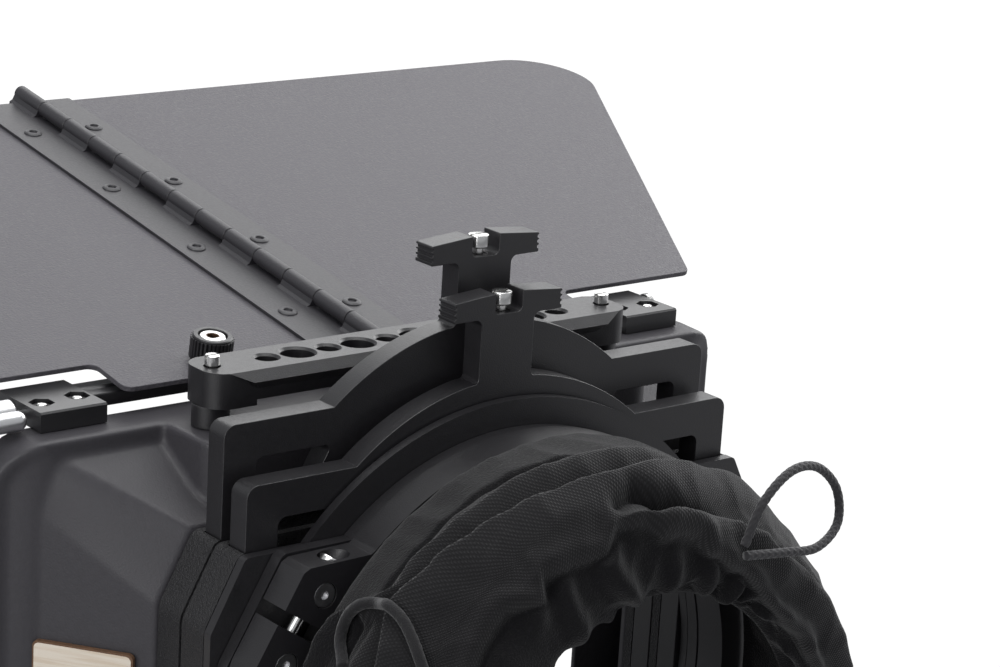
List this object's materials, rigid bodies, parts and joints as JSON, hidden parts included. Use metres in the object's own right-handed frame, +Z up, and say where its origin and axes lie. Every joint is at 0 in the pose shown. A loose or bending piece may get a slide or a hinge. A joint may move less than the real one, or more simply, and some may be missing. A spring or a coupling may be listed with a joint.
{
  "type": "lens hood",
  "caption": "Box-type lens hood for a cine lens: clamp ring with fabric light trap, pull-up filter frames, moulded sunshade, accessory rail and a tilting hinged top flag.",
  "frame": {"origin": "in the middle of the front filter stage's flat underside, where a support bracket is screwed on; the optical axis runs 57.5 mm above it", "axes": "+Y along the optical axis towards the subject, +X to the right for a person behind the lens, +Z up"},
  "size_m": [0.4468, 0.3402, 0.2164],
  "materials": {
    "black_anodised": "satin black anodised aluminium",
    "black_block": "black anodised, fine blasted",
    "spring_steel": "bent strip spring steel",
    "hood_plastic": "satin dark grey moulded plastic",
    "stage_plastic": "black plastic with a fine moulded grain",
    "flag_powder": "matt grey-black powder coat on sheet aluminium",
    "hinge_steel": "black coated steel",
    "silver": "bright nickel plated steel",
    "badge_wood": "pale wood with a dark edge, blank",
    "black_knit": "black knitted stretch fabric"
  },
  "bodies": {
    "hood_body": {"hood_shell": "hood_plastic", "hood_badge": "badge_wood", "stage_rear": "stage_plastic", "stage_front": "stage_plastic", "friction_spring_rear_left": "spring_steel", "friction_spring_rear_right": "spring_steel", "friction_spring_front_left": "spring_steel", "friction_spring_front_right": "spring_steel", "rear_plate": "black_anodised", "lens_flange": "black_anodised", "clamp_ring": "black_anodised", "clamp_nut_upper": "silver", "clamp_nut_lower": "silver", "accessory_rail": "black_anodised", "rail_post_left": "black_anodised", "rail_post_right": "black_anodised", "rail_screw_left": "silver", "rail_screw_right": "silver", "flag_block_left": "black_block", "flag_block_right": "black_block", "block_nut_left_inner": "black_block", "block_nut_left_outer": "black_block", "block_nut_right_inner": "black_block", "block_nut_right_outer": "black_block", "block_screw_left_inner": "silver", "block_screw_left_outer": "silver", "block_screw_right_inner": "silver", "block_screw_right_outer": "silver", "tilt_lock_barrel": "silver", "light_trap": "black_knit", "drawcord_loop": "black_knit"},
    "rear_frame": {"filter_frame_rear": "black_anodised", "handle_screw_rear": "silver"},
    "front_frame": {"filter_frame_front": "black_anodised", "handle_screw_front": "silver"},
    "clamp_screw_turn": {"clamp_screw": "silver"},
    "tilt_lock": {"tilt_lock_lever": "silver"},
    "flag_left": {"flag_tilt_bar": "black_anodised", "tilt_bar_cap": "silver", "flag_panel_left": "flag_powder", "hinge_leaf_left": "hinge_steel", "hinge_pin": "hinge_steel", "rivet_left_1": "hinge_steel", "rivet_left_2": "hinge_steel", "rivet_left_3": "hinge_steel", "rivet_left_4": "hinge_steel"},
    "flag_right": {"flag_panel_right": "flag_powder", "hinge_leaf_right": "hinge_steel", "rivet_right_1": "hinge_steel", "rivet_right_2": "hinge_steel", "rivet_right_3": "hinge_steel", "rivet_right_4": "hinge_steel"},
    "knob_left": {"flag_knob_left": "black_anodised", "flag_knob_screw_left": "silver"},
    "knob_right": {"flag_knob_right": "black_anodised", "flag_knob_screw_right": "silver"}
  },
  "joints": [
    {"name": "rear_frame_lift", "type": "slide", "parent": "hood_body", "child": "rear_frame", "axis": [0, 0, 1], "range_m": [0, 0.1]},
    {"name": "front_frame_lift", "type": "slide", "parent": "hood_body", "child": "front_frame", "axis": [0, 0, 1], "range_m": [-0.013, 0.087]},
    {"name": "flag_tilt", "type": "hinge", "parent": "hood_body", "child": "flag_left", "pos_m": [0, 0.0532, 0.1384], "axis": [1, 0, 0], "range_deg": [-15, 7]},
    {"name": "flag_fold", "type": "hinge", "parent": "flag_left", "child": "flag_right", "pos_m": [0, 0.13091, 0.15962], "axis": [0, -0.9888, -0.149], "range_deg": [0, 150]},
    {"name": "left_knob_turn", "type": "hinge", "parent": "flag_left", "child": "knob_left", "pos_m": [-0.0505, 0.04953, 0.14796], "axis": [0, -0.149, 0.9888], "continuous": true},
    {"name": "right_knob_turn", "type": "hinge", "parent": "flag_right", "child": "knob_right", "pos_m": [0.0505, 0.04953, 0.14796], "axis": [0, -0.149, 0.9888], "continuous": true},
    {"name": "tilt_lock_turn", "type": "hinge", "parent": "hood_body", "child": "tilt_lock", "pos_m": [-0.12, 0.049, 0.1377], "axis": [1, 0, 0], "range_deg": [-60, 0]},
    {"name": "clamp_screw_turn_joint", "type": "hinge", "parent": "hood_body", "child": "clamp_screw_turn", "pos_m": [-0.07505, -0.0298, 0.09875], "axis": [0.549, 0, 0.8358], "continuous": true}
  ]
}
